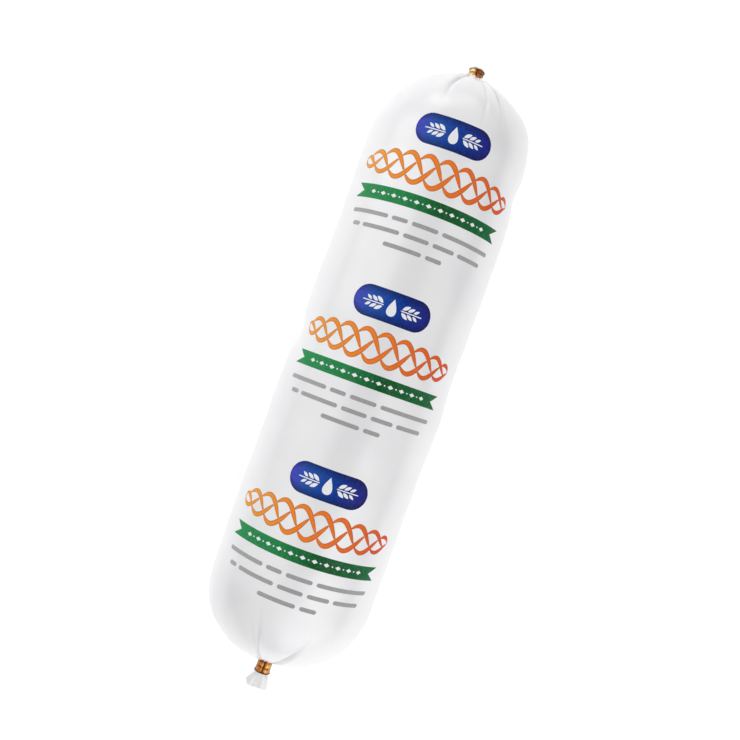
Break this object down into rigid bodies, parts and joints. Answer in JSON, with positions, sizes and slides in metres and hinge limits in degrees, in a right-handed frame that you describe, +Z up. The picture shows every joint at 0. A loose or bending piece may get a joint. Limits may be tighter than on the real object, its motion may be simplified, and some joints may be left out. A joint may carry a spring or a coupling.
{
  "type": "mozzarella log",
  "caption": "Long round-ended cheese log in a white printed film casing, gathered at both ends and closed with crimped metal clips, lying on its side.",
  "frame": {"origin": "middle of the bounding box's underside, on the flat strip that the log rests on", "axes": "+Y runs along the log from its fanned lower tail to its upper end, +Z points up through the middle of the printed front, +X is to the right of the print"},
  "size_m": [0.0914, 0.3614, 0.0895],
  "materials": {
    "film": "opaque white plastic film with a satin gloss, drawn into pleats and creases at both gathered ends",
    "clip_metal": "gold-amber coated aluminium strip, crimped, with bare bright wear on its edges",
    "ink_blue": "deep blue film ink, lighter towards one side",
    "ink_orange": "film ink that runs from amber to red-orange",
    "ink_green": "leaf-green film ink",
    "ink_grey": "thin mid-grey film ink",
    "ink_white": "white left clear in the ink"
  },
  "bodies": {
    "root": {"filled_casing": "film", "clip_top": "clip_metal", "clip_bottom": "clip_metal"}
  },
  "joints": []
}
